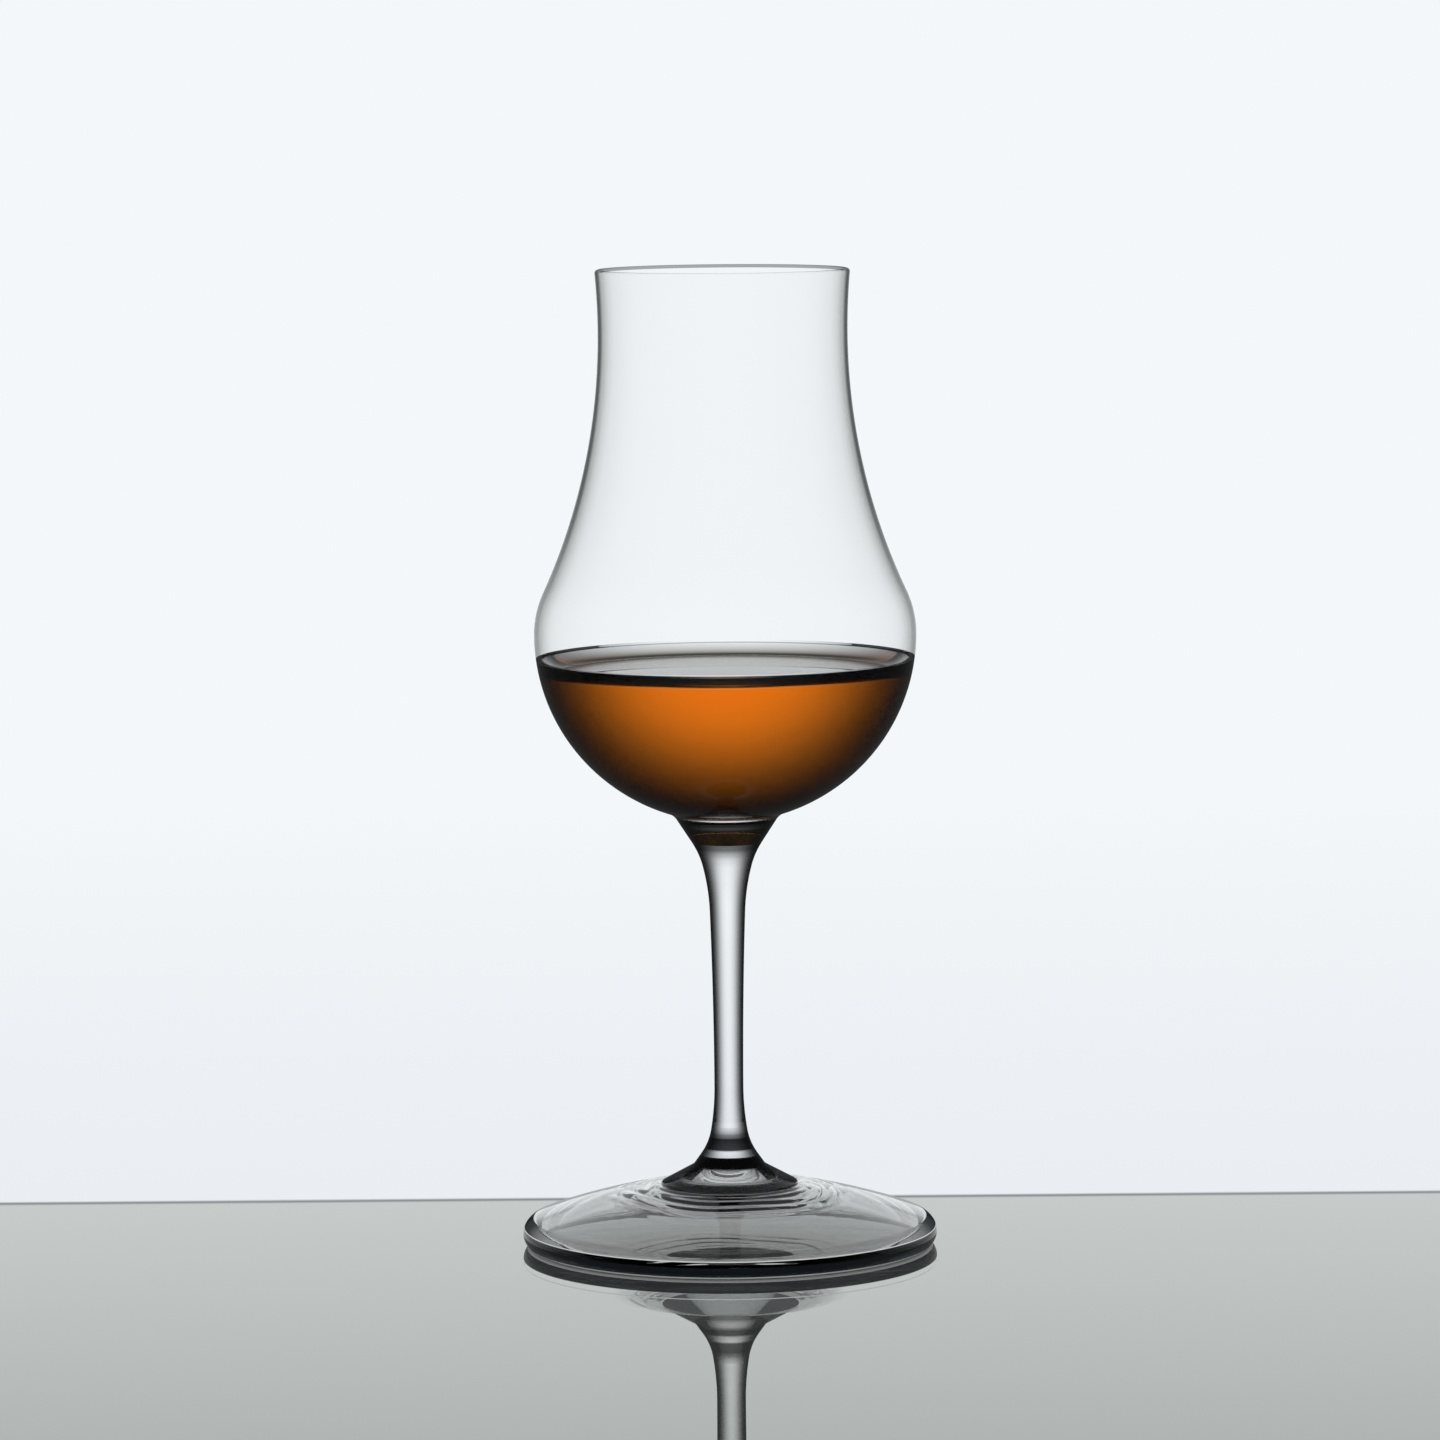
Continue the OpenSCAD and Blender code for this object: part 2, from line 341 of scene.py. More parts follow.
low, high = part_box("bowl")
innerSheen = ((0, 0.003), (0.6, 0.01), (1, 0.06))
bowl = {
    "bellyR": high.x, "poleZ": low.z, "rimZ": high.z,
    "bellyH": 31.7 * mm, "waistR": 20.9 * mm, "rimR": 21.35 * mm, "lipH": 10.5 * mm, "shoulderR": 17 * mm,
    "wall": 1.1 * mm, "base": 3.0 * mm,
    "wetZ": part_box("spirit")[1].z,  # the drink stands up to here
    "weldGap": 0.2 * mm,            # above the weld with the stem, the outline's next point is past this
    "turns": 256,
    "steps": {"well": 64, "shoulder": 16, "neck": 40, "lip": 12, "rim": 12},
    # a painted dark line of shade just inside the outline, whole at the neck and paler at the belly
    "dry": {"edge": ((0, 0.992), (0.25, 0.984), (0.35, 0.97), (0.5, 0.93), (0.57, 0.89), (0.65, 0.83),
                     (0.70, 0.77), (0.74, 0.66), (0.78, 0.45), (0.82, 0.37), (0.86, 0.42), (0.92, 0.65),
                     (1, 0.9)),
            "edgeZ": (103 * mm, 132 * mm), "edgeLeft": 0.45,
            "sheen": ((0, 0.003), (0.6, 0.02), (1, 0.3))},
    "inside": {"sheen": innerSheen},
    # the inner half of the rim's round carries a painted grey shade
    "rim": {"sheen": innerSheen, "rim": "#AEAFB2"},
    # where drink stands behind the wall, little is left of the mirror, and none between the two
    # the wet wall has painted shade towards its edges, by facing
    "wet": {"paintedShade": edgeShade(5.6, 1.5), "mirror": "#404040"},
    "backed": {"mirror": glass["none"]},
}
bowl["bellyZ"] = bowl["poleZ"] + bowl["bellyH"]
bowl["waistZ"] = bowl["rimZ"] - bowl["lipH"]
bowl["bottomR"] = bowl["bellyR"] ** 2 / bowl["bellyH"]  # radius of the bottom where the stem meets it


# the bowl's half profile, set in by a depth along the wall and another at the bottom: a quarter ellipse,
# a shoulder arc and a neck arc that share a tangent, and a parabola to the lip
def tulip(depth, bottom):
    steps = bowl["steps"]
    inset = bowl["bellyR"] - bowl["waistR"]
    rise = bowl["waistZ"] - bowl["bellyZ"]
    bothR = (inset ** 2 + rise ** 2) / (2 * inset)  # the two arcs' radii together
    turn = math.degrees(math.atan2(rise, bothR - inset))
    shoulderX, shoulderR = bowl["bellyR"] - bowl["shoulderR"], bowl["shoulderR"] - depth
    neckX, neckR = bowl["waistR"] + bothR - bowl["shoulderR"], bothR - bowl["shoulderR"] + depth
    well = arc(0, bowl["bellyZ"], bowl["bellyR"] - depth, bowl["bellyH"] - bottom, -90, 0, steps["well"])
    shoulder = arc(shoulderX, bowl["bellyZ"], shoulderR, shoulderR, 0, turn, steps["shoulder"])
    neck = arc(neckX, bowl["waistZ"], neckR, neckR, 180 + turn, 180, steps["neck"])
    share = np.linspace(0, 1, steps["lip"] + 1)
    lip = np.stack([bowl["waistR"] - depth + (bowl["rimR"] - bowl["waistR"]) * share ** 2,
                    bowl["waistZ"] + (bowl["lipH"] - bowl["wall"] / 2) * share], 1)
    return along(well, shoulder, neck, lip)


# stem

low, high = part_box("stem")
# painted shade towards the rod's edges, by facing; the head and the cup share it
drawnLook = {"paintedShade": edgeShade(7.5, 1.3), "lean": 7.0}
stem = {
    "buttonR": high.x, "seatZ": low.z,
    "thinR": 2.45 * mm, "curveR": 820 * mm,
    # each flare has a slow bend and a quick one, by radius and the angle that it ends at
    "headH": 15.3 * mm, "headSlow": (36 * mm, 14.5), "headQuick": (14 * mm, 33.0),
    "heelSlow": (45 * mm, 9.5), "heelQuick": (10 * mm, 35.5),
    "creaseR": 6.1 * mm, "creaseSoft": 1.5 * mm, "buttonH": 3.3 * mm, "buttonEdge": 0.5 * mm,
    "fillet": 2.8 * mm,
    "turns": 192,
    "steps": {"slow": 12, "quick": 16, "crease": 10, "edge": 8, "rod": 16, "fillet": 14, "weld": 12},
    # the button reaches up to buttonZ and the heel to heelZ; the head starts at headZ and the cup at cupZ
    "buttonZ": 13.5 * mm, "heelZ": 20.2 * mm, "headZ": 64.5 * mm, "cupZ": 68.8 * mm,
    # painted shade by facing on each stretch, and painted bands of light and shade by height
    "drawn": drawnLook,
    "heel": {"paintedShade": edgeShade(7.0, 1.35), "lean": 9.0, "raised": 9.0, "mirrorThrough": 0.1,
             "paintedBands": ((13.5, 0.3), (14.0, 0.03), (15.0, 0.03), (15.4, 0.8), (16.2, 0.95), (16.5, 0.05),
                       (18.3, 0.02), (19.0, 0.25), (20.2, 0.85))},
    "button": {"paintedShade": edgeShade(3.0, 1.6), "lean": 9.0, "raised": -25.0, "mirrorThrough": 0.25,
               "paintedBands": ((10.3, 0.02), (11.3, 0.04), (11.8, 0.5), (12.5, 0.8), (13.2, 0.65), (13.5, 0.3))},
    "head": {**drawnLook, "raised": -9.0,
             "paintedBands": ((64.5, 1), (65.9, 0.83), (66.6, 0.58), (67.0, 0.47), (67.35, 0.31), (67.7, 0.18),
                       (68.5, 0.15), (68.8, 0.05))},
    "cup": {**drawnLook, "paintedBands": ((68.8, 0.3), (71.2, 0.35), (71.7, 1), (75.0, 1))},
    "headSeam": "#FFFFFF", "heelSeam": "#CFD0D1",
}


# the lower half of the stem, from the seat up to its thinnest place: a rounded button, a soft crease, a
# straight skirt and two bends, quick and slow
def heelProfile():
    steps = stem["steps"]
    (slowR, slowA), (quickR, quickA) = stem["heelSlow"], stem["heelQuick"]
    slow, quick = math.radians(slowA), math.radians(quickA)
    creaseR, creaseZ = stem["creaseR"], stem["seatZ"] + stem["buttonH"]
    edgeR, edgeX = stem["buttonEdge"], stem["buttonR"] - stem["buttonEdge"]
    bendsOut = slowR * (1 - math.cos(slow)) + quickR * (math.cos(slow) - math.cos(quick))
    bendsDown = slowR * math.sin(slow) + quickR * (math.sin(quick) - math.sin(slow))
    thinZ = creaseZ + bendsDown + (creaseR - stem["thinR"] - bendsOut) / math.tan(quick)
    sideA = touchAngle((creaseR, creaseZ), (edgeX, stem["seatZ"]), edgeR)
    back = stem["creaseSoft"] * math.tan(math.radians(sideA - quickA) / 2)
    slowBend = bend((stem["thinR"], thinZ), slowR, 0, slowA, -1, steps["slow"])
    quickBend = bend(slowBend[-1], quickR, slowA, quickA, -1, steps["quick"])
    creaseStart = (creaseR - back * math.sin(quick), creaseZ + back * math.cos(quick))
    crease = bend(creaseStart, stem["creaseSoft"], quickA, sideA, -1, steps["crease"])
    edge = arc(edgeX, stem["seatZ"], edgeR, edgeR, sideA, 0, steps["edge"])
    return np.concatenate([slowBend, quickBend[1:], crease, edge])[::-1]


# the upper half: a long curve, a slow bend, a quick bend, a straight run and a fillet against the bowl's
# bottom
def headProfile(thin):
    steps = stem["steps"]
    (slowR, slowA), (quickR, quickA) = stem["headSlow"], stem["headQuick"]
    turnA = math.degrees(math.asin((bowl["poleZ"] - stem["headH"] - thin[1]) / stem["curveR"]))
    rod = bend(thin, stem["curveR"], 0, turnA, 1, steps["rod"])
    slowBend = bend(rod[-1], slowR, turnA, slowA, 1, steps["slow"])
    quickBend = bend(slowBend[-1], quickR, slowA, quickA, 1, steps["quick"])
    quick = math.radians(quickA)
    runDir = np.array([math.sin(quick), math.cos(quick)])
    outDir = np.array([math.cos(quick), -math.sin(quick)])
    # the fillet's centre is its radius off the straight run and off the bowl
    ball = np.array([0, bowl["poleZ"] + bowl["bottomR"]])
    reach = bowl["bottomR"] + stem["fillet"]
    offset = quickBend[-1] + outDir * stem["fillet"] - ball
    half = offset @ runDir
    pivot = ball + offset - runDir * (half + math.sqrt(half ** 2 - offset @ offset + reach ** 2))
    endA = math.degrees(math.atan2(*(ball - pivot)[::-1]))
    fillet = arc(*pivot, stem["fillet"], stem["fillet"], 180 - quickA, endA, steps["fillet"])
    return np.concatenate([along(rod, slowBend, quickBend), fillet])


heelLine = heelProfile()
headLine = headProfile(heelLine[-1])
# the patch of the bowl's bottom that is fused to the stem's cup
weldA = math.degrees(math.asin(headLine[-1, 0] / bowl["bottomR"]))
patch = arc(0, bowl["poleZ"] + bowl["bottomR"], bowl["bottomR"], bowl["bottomR"], -90, weldA - 90,
            stem["steps"]["weld"])
stemLine = along(np.array([[0, stem["seatZ"]], heelLine[0]]), heelLine, headLine, patch[::-1])
stemZ = middles(stemLine)[:, 1]
stemBands = np.full(len(stemZ), "drawn", object)
stemBands[stemZ < stem["heelZ"]] = "heel"
stemBands[stemZ < stem["buttonZ"]] = "button"
stemBands[stemZ > stem["headZ"]] = "head"
stemBands[stemZ > stem["cupZ"]] = "cup"
stemBands[0] = "heelSeam"
stemBands[-stem["steps"]["weld"]:] = "headSeam"
headSeam = fusedSeam("fused_seam_head", stem["headSeam"])
heelSeam = fusedSeam("fused_seam_heel", stem["heelSeam"])
stemFinishes = {
    "drawn": crystalGlass("crystal_glass_drawn", **stem["drawn"]),
    "headSeam": headSeam,
    "heelSeam": heelSeam,
    "heel": crystalGlass("crystal_glass_heel", **stem["heel"]),
    "button": crystalGlass("crystal_glass_button", **stem["button"]),
    "head": crystalGlass("crystal_glass_head", **stem["head"]),
    "cup": crystalGlass("crystal_glass_cup", **stem["cup"]),
}
stemPiece = lathe("stem_drawn", stemLine, stem["turns"], stemFinishes, stemBands)
print("stem drawn")


# the bowl's wall: the weld, the outside, half a round at the rim, and the inside back down
def bowlProfile():
    half, rimSteps = bowl["wall"] / 2, bowl["steps"]["rim"]
    outside, inside = tulip(0, 0), tulip(bowl["wall"], bowl["base"])
    above = outside[outside[:, 1] > patch[-1, 1] + bowl["weldGap"]]
    edge = arc(bowl["rimR"] - half, bowl["rimZ"] - half, half, half, 0, 180, rimSteps)
    profile = along(np.concatenate([patch, above]), edge, inside[::-1])
    wet = middles(profile)[:, 1] < bowl["wetZ"]
    bands = np.where(wet, "wet", "dry").astype(object)
    within = np.arange(len(bands)) >= len(profile) - len(inside)
    bands[within] = np.where(wet[within], "backed", "inside")
    rimEnd = np.argmax(within)
    bands[rimEnd - rimSteps // 2:rimEnd] = "rim"  # the inner half of the round
    bands[:len(patch) - 1] = "headSeam"
    return profile, bands


bowlLine, bowlBands = bowlProfile()
bowlFinishes = {
    "dry": blownWall("crystal_glass_blown", **bowl["dry"]),
    "headSeam": headSeam,
    "wet": crystalGlass("crystal_glass_wet", **bowl["wet"]),
    "inside": blownWall("crystal_glass_blown_inside", **bowl["inside"]),
    "backed": crystalGlass("crystal_glass_backed", **bowl["backed"]),
    "rim": blownWall("crystal_glass_rim", **bowl["rim"]),
}
bowlPiece = lathe("bowl_blown", bowlLine, bowl["turns"], bowlFinishes, bowlBands)
print("bowl blown")


# foot

low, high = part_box("foot")
spunRough = 0.012  # a little rough, so that its mirror shows the bright wall and not the dark cards
foot = {
    "outR": high.x, "seatZ": high.z,
    "crownR": 120 * mm, "edgeZ": 2.1 * mm, "edgeR": 2.8 * mm, "toeW": 1.8 * mm, "ringW": 1.6 * mm,
    "kick": 7.0 * mm,
    # rings round the button: their height, their width and the distance over which they fade
    "ripple": 0.04 * mm, "rippleW": 1.6 * mm, "rippleFade": 3.0 * mm,
    # waves further out: their height, and in mm their width, the middle of their swell and its reach
    "wave": 0.08 * mm, "waveW": 2.8, "waveAt": 5.0, "waveSpan": 3.2,
    "waveZ": 5.0 * mm,                         # they lie above this height, on the dome
    "wander": ((1.6, 2, 0.6), (1.1, 5, 1.9)),  # how far their phase wanders, how often a turn, and from where
    "turns": 256,
    "steps": {"hollow": 48, "toe": 24, "round": 40, "dome": 160},
    # going up, the edge has a painted glint, a band of painted shade, a clear crest, a second painted glint
    # and a brow under the dome
    "glintTop": 0.4 * mm, "darkTop": 2.1 * mm, "crestTop": 3.0 * mm, "browFrom": 3.2 * mm,
    # colour of the painted glint
    "glint": "#FFFFFF",
    # painted shade by facing: looked into, the dome is darkened as the dark under it would; at a glance, not
    # at all
    "dome": {"rough": spunRough, "coat": 0.75,
             "paintedShade": ((0, 0.9), (0.3, 0.74), (0.45, 0.58), (0.52, 0.77), (0.58, 0.95), (0.64, 1), (1, 1)),
             "mirrorBy": ((13 * mm, 0.2), (21 * mm, 1.0))},
    "hollow": {"rough": spunRough, "mirrorThrough": 1.0},
    # painted shade: the edge, where one looks along the glass, is tinted dark and mixed with a dark matt
    # colour
    "edge": {"rough": spunRough, "tint": "#2A2E31", "mirror": glass["none"], "dark": 0.7},
    # painted shade by facing darkens the crest towards the two ends that one looks along
    "crest": {"rough": spunRough, "paintedShade": edgeShade(4.5, 3.0), "lean": 10.0, "mirror": glass["none"],
              "mirrorThrough": 1.0},
    # the brow bends light as the dome beside it does; painted shade by facing dims its front a little and
    # darkens the two ends that one looks along
    "brow": {"rough": spunRough, "lean": 10.0, "raised": 70.2, "oneWay": True, "mirrorThrough": 1.0,
             "paintedShade": ((0, 0.74), (0.2, 0.92), (0.45, 1), (0.6, 0.92), (0.74, 0.5), (0.86, 0.15), (1, 0.08)),
             "darkBy": ((0, 0), (0.5, 0), (0.66, 0.35), (0.8, 0.85), (1, 1))},
}


# the foot's half profile: a hollow below, a flat ring, an edge that draws in to the ring and is rounded
# above, and a dome that runs from the edge to the seat without a corner
def footProfile():
    steps = foot["steps"]
    toeX = foot["outR"] - foot["toeW"]
    hollowX = toeX - foot["ringW"]
    hollowR = (hollowX ** 2 + foot["kick"] ** 2) / (2 * foot["kick"])
    hollowA = math.degrees(math.asin(hollowX / hollowR))
    seat = np.array([stem["buttonR"], foot["seatZ"]])
    edge = np.array([foot["outR"] - foot["edgeR"], foot["edgeZ"]])
    # the dome's centre is its radius off the seat, and that less the edge's radius off the edge's centre
    span = np.hypot(*(edge - seat))
    ahead = (foot["crownR"] ** 2 - (foot["crownR"] - foot["edgeR"]) ** 2 + span ** 2) / (2 * span)
    aside = math.sqrt(foot["crownR"] ** 2 - ahead ** 2)
    way = (edge - seat) / span
    crown = seat + ahead * way + aside * np.array([way[1], -way[0]])
    seatA = math.degrees(math.atan2(*(seat - crown)[::-1]))
    edgeA = math.degrees(math.atan2(*(edge - crown)[::-1]))
    hollow = arc(0, foot["kick"] - hollowR, hollowR, hollowR, 90, 90 - hollowA, steps["hollow"])
    toe = arc(toeX, foot["edgeZ"], foot["toeW"], foot["edgeZ"], -90, 0, steps["toe"])
    rounding = arc(*edge, foot["edgeR"], foot["edgeR"], 0, edgeA, steps["round"])
    dome = arc(*crown, foot["crownR"], foot["crownR"], edgeA, seatA, steps["dome"])
    # rings that the spinning leaves round the button: a sine that fades outwards
    out = dome[:, 0] - stem["buttonR"]
    fade = np.exp(-out / foot["rippleFade"])
    dome[:, 1] += foot["ripple"] * fade * np.sin(2 * math.pi * out / foot["rippleW"])
    profile = np.concatenate([hollow, along(toe, rounding, dome), [[0, foot["seatZ"]]]])
    radius, height = middles(profile).T
    order = np.arange(len(radius))
    outer = radius > toeX
    bands = np.full(len(radius), "dome", object)
    bands[~outer & (order < len(hollow))] = "hollow"
    bands[outer & (order < len(profile) - len(dome))] = "brow"
    bands[outer & (height < foot["browFrom"])] = "glint"
    bands[outer & (height < foot["crestTop"])] = "crest"
    bands[outer & (height < foot["darkTop"])] = "edge"
    bands[outer & (height < foot["glintTop"])] = "glint"
    bands[-1] = "heelSeam"
    return profile, bands


# waves that the hot dome keeps round the button: a sine outwards whose phase wanders round the axis, and
# whose height swells and fades as a bell curve
def footWaves(rows, angle):
    out = (rows[:, 0, None] - stem["buttonR"]) / mm
    onDome = (rows[:, 1, None] > foot["waveZ"]) & (out > 0)
    wander = sum(far * np.sin(often * angle + start) for far, often, start in foot["wander"])
    swell = np.exp(-((out - foot["waveAt"]) / foot["waveSpan"]) ** 2) * onDome
    return foot["wave"] * swell * np.sin(2 * math.pi * out / foot["waveW"] + wander)


footLine, footBands = footProfile()
footFinishes = {
    "dome": crystalGlass("crystal_glass_spun", **foot["dome"]),
    "heelSeam": heelSeam,
    "edge": crystalGlass("crystal_glass_edge", **foot["edge"]),
    "crest": crystalGlass("crystal_glass_crest", **foot["crest"]),
    "glint": paintedEdgeGlint(foot["glint"]),
    "hollow": crystalGlass("crystal_glass_hollow", **foot["hollow"]),
    "brow": crystalGlass("crystal_glass_brow", **foot["brow"]),
}
footPiece = lathe("foot_spun", footLine, foot["turns"], footFinishes, footBands, footWaves)
print("foot spun")


# spirit

low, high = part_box("spirit")
spirit = {
    "contactZ": high.z,
    "creep": 2.1 * mm, "margin": 3.8 * mm,
    "lap": 0.12 * mm,                # it reaches so far into the wall that no film of air is left between
    "trim": 0.1 * mm,                # the last point along the wall is more than this below the contact
    "open": (0.05 * mm, 0.01 * mm),  # the open surface's look starts and is whole this far below its level
    "turns": 256,
    "steps": {"margin": 16, "flat": 12},
    "ior": 1.36, "absorbs": "#FED400", "density": 80.0,
    "paintedShade": edgeShade(10.0, 16.0),   # painted shade, by facing, at each surface
    "passes": "#F2C08A",             # of soft light
    "rough": 0.012,                  # of the open surface
}
spirit["levelZ"] = spirit["contactZ"] - spirit["creep"]


# barrel-aged spirit, water and ethanol: clear amber that deepens with the length of the light's way, with
# painted shade by facing that darkens it towards its edges, so that its surface seen from just above shows
# little but its own mirror. Against the glass it has no mirror
def amberSpirit():
    material, tree = newMaterial("amber_spirit_poured")
    place = addNode(tree, "ShaderNodeTexCoord").outputs["Object"]
    height = addNode(tree, "ShaderNodeSeparateXYZ", links={"Vector": place}).outputs["Z"]
    start, whole = [spirit["levelZ"] - below for below in spirit["open"]]
    mirror = addNode(tree, "ShaderNodeMapRange", {"From Min": start, "From Max": whole}, {"Value": height})
    ripple = addNode(tree, "ShaderNodeMapRange",
                     {"From Min": start, "From Max": whole, "To Max": spirit["rough"]}, {"Value": height})
    facing = addNode(tree, "ShaderNodeLayerWeight").outputs["Facing"]
    shade = addNode(tree, "ShaderNodeValToRGB", {"stops": squared(spirit["paintedShade"])}, {"Fac": facing})
    shader = addNode(tree, "ShaderNodeBsdfPrincipled", {"IOR": spirit["ior"], "Transmission Weight": 1.0},
                     {"Base Color": shade, "Specular Tint": mirror, "Roughness": ripple})
    within = addNode(tree, "ShaderNodeVolumeAbsorption",
                     {"Color": linear(spirit["absorbs"]), "Density": spirit["density"]})
    surface = letLightThrough(tree, shader, spirit["passes"])
    addNode(tree, "ShaderNodeOutputMaterial", links={"Surface": surface, "Volume": within})
    return material


# the drink fills the bowl's inside and creeps up the wall along a parabola
def spiritProfile():
    steps = spirit["steps"]
    wall = tulip(bowl["wall"] - spirit["lap"], bowl["base"] - spirit["lap"])
    wall = wall[wall[:, 1] < spirit["contactZ"] - spirit["trim"]]
    wide = bowl["bellyR"] - bowl["wall"] + spirit["lap"]
    deep = bowl["bellyH"] - bowl["base"] + spirit["lap"]
    contactR = wide * math.sqrt(1 - ((bowl["bellyZ"] - spirit["contactZ"]) / deep) ** 2)
    share = np.linspace(1, 0, steps["margin"] + 1)
    margin = np.stack([contactR - spirit["margin"] * (1 - share),
                       spirit["levelZ"] + spirit["creep"] * share ** 2], 1)
    inwards = np.linspace(margin[-1, 0], 0, steps["flat"] + 1)[1:]
    flat = np.stack([inwards, np.full(len(inwards), spirit["levelZ"])], 1)
    return np.concatenate([wall, margin, flat])


spiritPiece = lathe("spirit_poured", spiritProfile(), spirit["turns"], {"amber": amberSpirit()})
print("spirit poured")

for piece, node, slotName in ((bowlPiece, "bowl", "clear_glass"), (stemPiece, "stem", "clear_glass"),
                              (footPiece, "foot", "clear_glass"), (spiritPiece, "spirit", "amber_spirit")):
    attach(piece, "root")
    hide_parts(node)


# stage

light = {
    "ambient": 0.8,  # soft light on the floor
    # elevation in degrees and strength of the bright wall, as it shows through the glass
    "wall": ((0, 1.0), (9, 1.0), (30, 0.7), (46, 0.12), (90, 0.05)),
    # and as it shows in the floor
    "mirrored": ((0, 1.0), (9.8, 1.0), (12, 0.74), (17, 0.47), (30, 0.2), (90, 0.1)),
    "flags": 0.06,   # dark cards round the set, which the glass mirrors
}

stage = {
    "half": 4.0,          # half the floor's width; lengths here are in metres
    "lineY": 0.0456,      # where the pale floor turns to the white of the background
    "fade": 0.002,        # over this depth
    "line": 0.0015,       # width of the dark line at the floor's far edge
    "edge": "#8E9090",
    "floor": "#CCCECD", "white": "#F3F7F9",
    "near": "#EAEEF3", "hazeY": 0.65,  # the white is a little dimmer just behind the floor
    "mirror": "#D3D4D1",  # what the sealed floor keeps of a reflection at a low angle
    "mirrorFrom": 0.45, "mirrorFull": 0.80,  # facing where the mirror starts and where it is whole
    "mirrorMost": 0.95,   # its share then
    "deep": (0.46, 0.68),  # facing where the white beyond the floor's edge falls off, looked at from above
    "deepLeft": 0.06,      # what is left of it then
    "rough": 0.012,        # a little rough, so that the floor mirrors the bright wall and not the dark cards
}


# sealed pale board: matt from above, and a soft mirror at a low angle
def floorMaterial():
    material, tree = newMaterial("pale_floor_sealed")
    place = addNode(tree, "ShaderNodeTexCoord").outputs["Object"]
    depth = addNode(tree, "ShaderNodeSeparateXYZ", links={"Vector": place}).outputs["Y"]
    facing = addNode(tree, "ShaderNodeLayerWeight").outputs["Facing"]
    path = addNode(tree, "ShaderNodeLightPath")
    lineY, fade = stage["lineY"], stage["fade"]
    # the floor, with a dark line along its far edge
    matt = addNode(tree, "ShaderNodeBsdfDiffuse", {"Color": linear(stage["floor"])})
    edge = addNode(tree, "ShaderNodeMapRange",
                   {"From Min": lineY - stage["line"] - fade, "From Max": lineY - stage["line"]},
                   {"Value": depth})
    keeps = addNode(tree, "ShaderNodeMix",
                    {"data_type": "RGBA", "A_Color": linear(stage["mirror"]),
                     "B_Color": linear(stage["edge"])}, {"Factor_Float": edge})
    gloss = addNode(tree, "ShaderNodeBsdfGlossy", {"Roughness": stage["rough"]}, {"Color": keeps})
    glancing = addNode(tree, "ShaderNodeMapRange",
                       {"interpolation_type": "SMOOTHSTEP", "From Min": stage["mirrorFrom"],
                        "From Max": stage["mirrorFull"], "To Max": stage["mirrorMost"]}, {"Value": facing})
    front = addNode(tree, "ShaderNodeMixShader", links={"Fac": glancing, "Shader": matt, "Shader_001": gloss})
    # the white beyond it glows for the camera and through glass, and is matt in other light
    haze = addNode(tree, "ShaderNodeMapRange", {"From Min": lineY, "From Max": stage["hazeY"]},
                   {"Value": depth})
    pale = addNode(tree, "ShaderNodeMix",
                   {"data_type": "RGBA", "A_Color": linear(stage["near"]), "B_Color": linear(stage["white"])},
                   {"Factor_Float": haze})
    down = addNode(tree, "ShaderNodeMapRange",
                   {"From Min": stage["deep"][0], "From Max": stage["deep"][1], "To Min": stage["deepLeft"]},
                   {"Value": facing})
    strength = addNode(tree, "ShaderNodeMath", {"operation": "MAXIMUM"},
                       {"Value": down, "Value_001": path.outputs["Is Camera Ray"]})
    glow = addNode(tree, "ShaderNodeEmission", links={"Color": pale, "Strength": strength})
    seen = addNode(tree, "ShaderNodeMath", {"operation": "MAXIMUM"},
                   {"Value": path.outputs["Is Camera Ray"], "Value_001": path.outputs["Is Transmission Ray"]})
    beyond = addNode(tree, "ShaderNodeMixShader", links={"Fac": seen, "Shader": matt, "Shader_001": glow})
    back = addNode(tree, "ShaderNodeMapRange", {"From Min": lineY - fade / 2, "From Max": lineY + fade / 2},
                   {"Value": depth})
    both = addNode(tree, "ShaderNodeMixShader", links={"Fac": back, "Shader": front, "Shader_001": beyond})
    # the glass's own sharp mirror shows the dark cards instead
    sharp = addNode(tree, "ShaderNodeMath", {"operation": "MULTIPLY"},
                    {"Value": path.outputs["Is Reflection Ray"],
                     "Value_001": path.outputs["Is Singular Ray"]})
    card = addNode(tree, "ShaderNodeEmission",
                   {"Color": linear(stage["white"]), "Strength": light["flags"]})
    shown = addNode(tree, "ShaderNodeMixShader", links={"Fac": sharp, "Shader": both, "Shader_001": card})
    addNode(tree, "ShaderNodeOutputMaterial", links={"Surface": shown})
    return material


floorMesh = bpy.data.meshes.new("floor")
half = stage["half"]
floorCorners = [(-half, -half, 0), (half, -half, 0), (half, half, 0), (-half, half, 0)]
floorMesh.from_pydata(floorCorners, [], [range(len(floorCorners))])
floorMesh.materials.append(floorMaterial())
floor = bpy.data.objects.new("floor", floorMesh)
scene.collection.objects.link(floor)


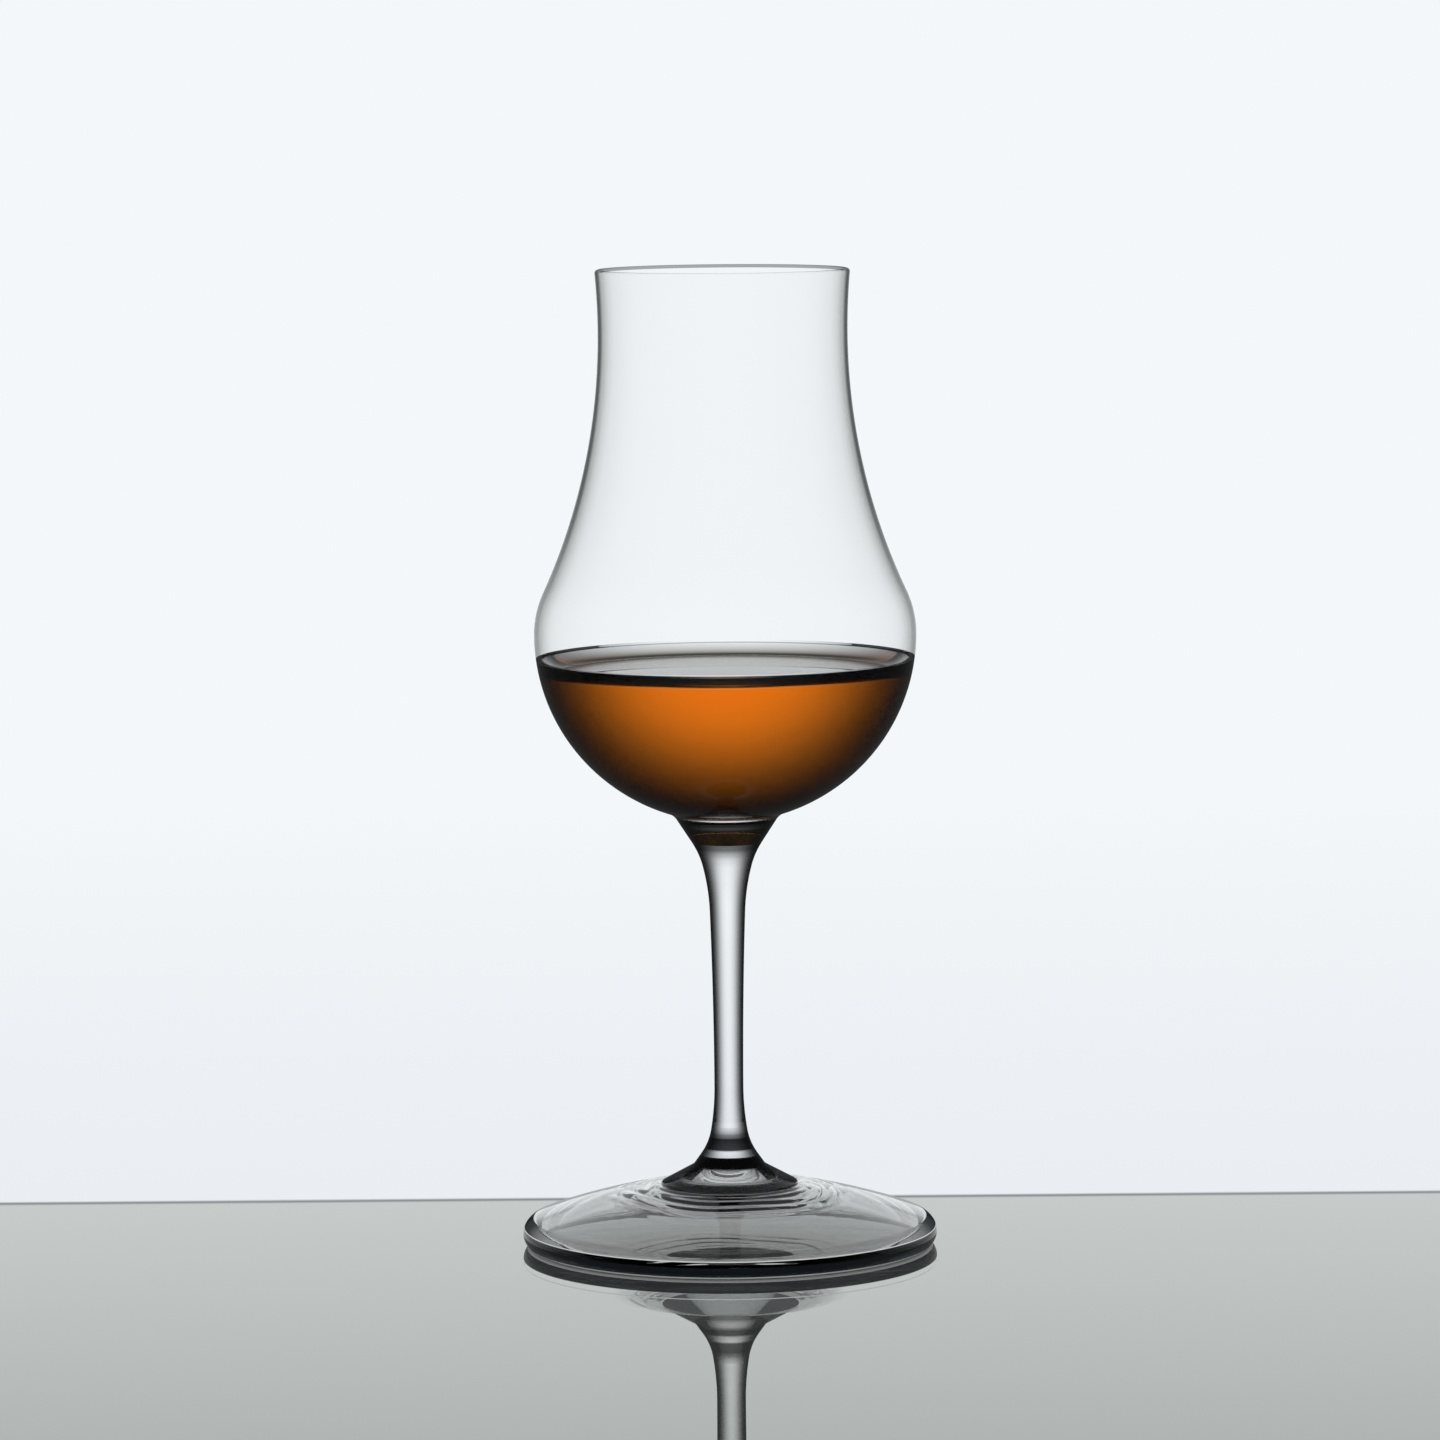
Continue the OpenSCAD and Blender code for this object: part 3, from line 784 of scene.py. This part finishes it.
# the bright wall is what shows through the glass and in the floor; the glass's own sharp mirror shows the
# dark cards, as in bright-field lighting
def studioWorld():
    world = bpy.data.worlds.new("studio")
    world.use_nodes = True
    tree = world.node_tree
    tree.nodes.clear()
    path = addNode(tree, "ShaderNodeLightPath")
    way = addNode(tree, "ShaderNodeTexCoord").outputs["Generated"]
    height = addNode(tree, "ShaderNodeSeparateXYZ", links={"Vector": way}).outputs["Z"]
    shows = {}
    for name in ("wall", "mirrored"):  # by the sine of the elevation
        stops = [(math.sin(math.radians(elevation)), strength) for elevation, strength in light[name]]
        shows[name] = addNode(tree, "ShaderNodeValToRGB", {"stops": stops}, {"Fac": height})
    gloss = addNode(tree, "ShaderNodeMix", {"B_Float": light["flags"]},
                    {"Factor_Float": path.outputs["Is Singular Ray"], "A_Float": shows["mirrored"]})
    soft = addNode(tree, "ShaderNodeMix", {"A_Float": light["ambient"]},
                   {"Factor_Float": path.outputs["Is Glossy Ray"], "B_Float": gloss})
    through = addNode(tree, "ShaderNodeMix", links={"Factor_Float": path.outputs["Is Transmission Ray"],
                                                    "A_Float": soft, "B_Float": shows["wall"]})
    strength = addNode(tree, "ShaderNodeMix", {"B_Float": 1.0},
                       {"Factor_Float": path.outputs["Is Camera Ray"], "A_Float": through})
    sky = addNode(tree, "ShaderNodeBackground", {"Color": linear(stage["white"])}, {"Strength": strength})
    addNode(tree, "ShaderNodeOutputWorld", links={"Surface": sky})
    return world


scene.world = studioWorld()
scene.view_settings.view_transform = "Standard"
print("stage and light ready")


# camera, as the photograph was taken: a long lens a little above the rim

view = {
    "away": 1.138, "above": 0.207, "near": 0.01, "far": 100.0,  # metres
    "down": 5.911, "roll": 0.48,                                # degrees
    "lens": 170.0, "sensor": 36.0,                              # mm
}
lensData = bpy.data.cameras.new("camera")
lensData.lens = view["lens"]
lensData.sensor_width = view["sensor"]
lensData.clip_start = view["near"]
lensData.clip_end = view["far"]
camera = bpy.data.objects.new("camera", lensData)
camera.location = (0, -view["away"], view["above"])
camera.rotation_euler = (math.radians(90 - view["down"]), math.radians(view["roll"]), 0)
scene.collection.objects.link(camera)
scene.camera = camera
print("camera ready")
